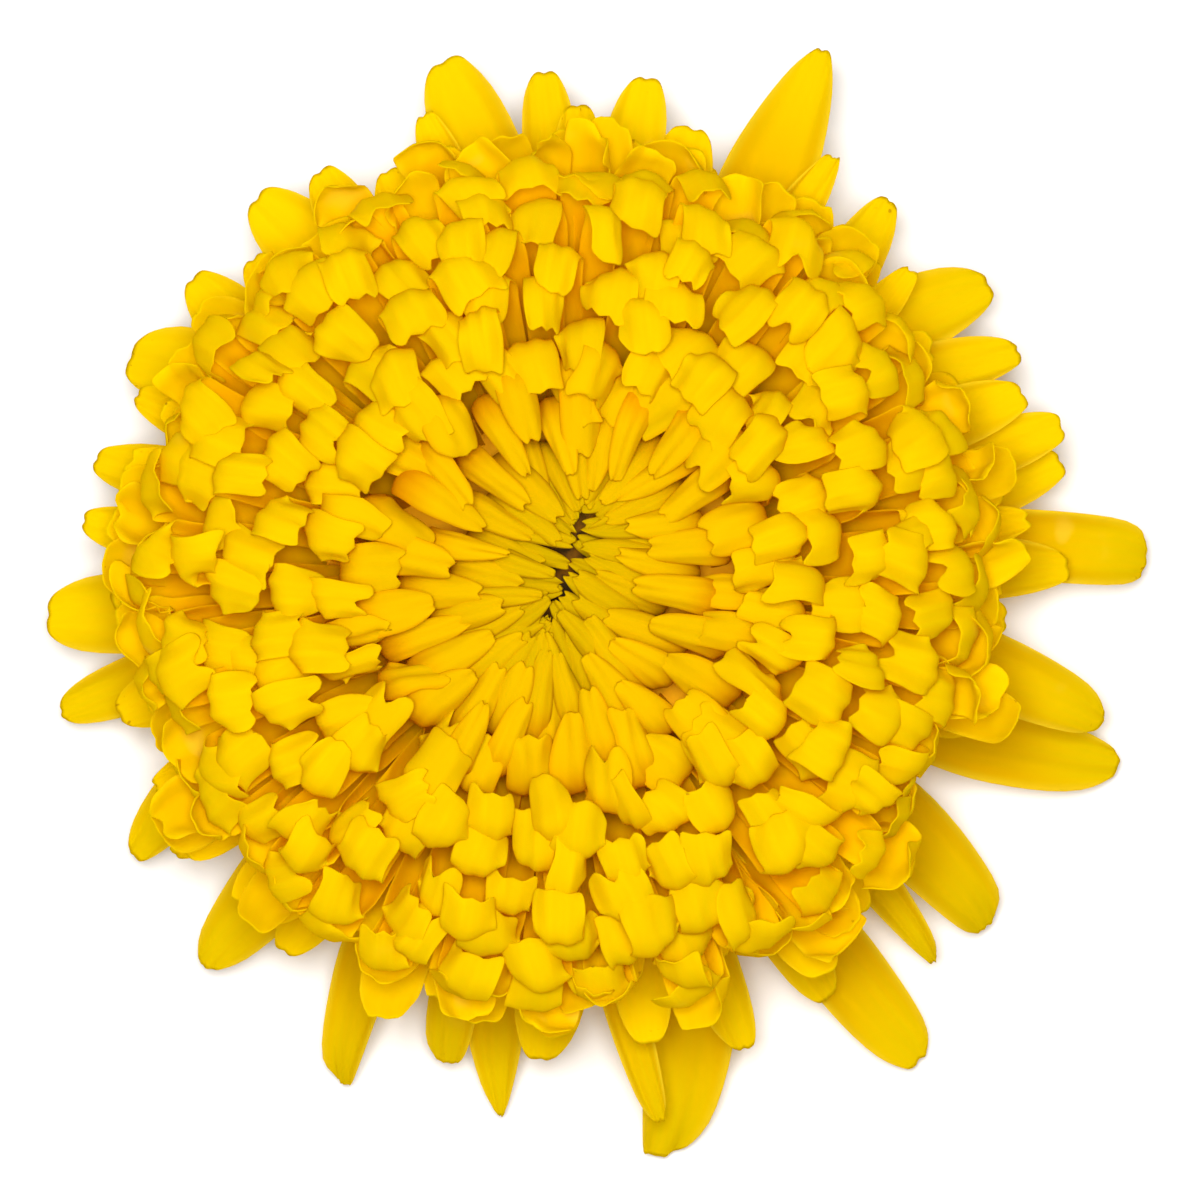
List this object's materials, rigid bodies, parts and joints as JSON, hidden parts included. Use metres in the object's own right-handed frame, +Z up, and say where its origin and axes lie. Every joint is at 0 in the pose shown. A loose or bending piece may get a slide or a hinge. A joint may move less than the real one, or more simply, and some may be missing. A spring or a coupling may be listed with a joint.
{
  "type": "disbud chrysanthemum head",
  "caption": "Large domed yellow chrysanthemum bloom, cut under the calyx and lying on its back, with hooded inner florets, spreading outer florets, green involucre and stem stub.",
  "frame": {"origin": "under the middle of the head's box, on the surface that it lies on; the bloom's axis stands about 4.6 mm towards -X and 1.9 mm towards +Y of it", "axes": "+Z up out of the bloom's face; +Y towards the top of the reference picture, +X towards its right"},
  "size_m": [0.1332, 0.1366, 0.0655],
  "materials": {
    "petal": "satin fresh petal, saturated yellow",
    "bract": "matt green with paler edges",
    "stem": "matt ribbed green, pale where it is cut"
  },
  "bodies": {
    "root": {"ray_florets": "petal", "involucre": "bract", "stem": "stem"}
  },
  "joints": []
}
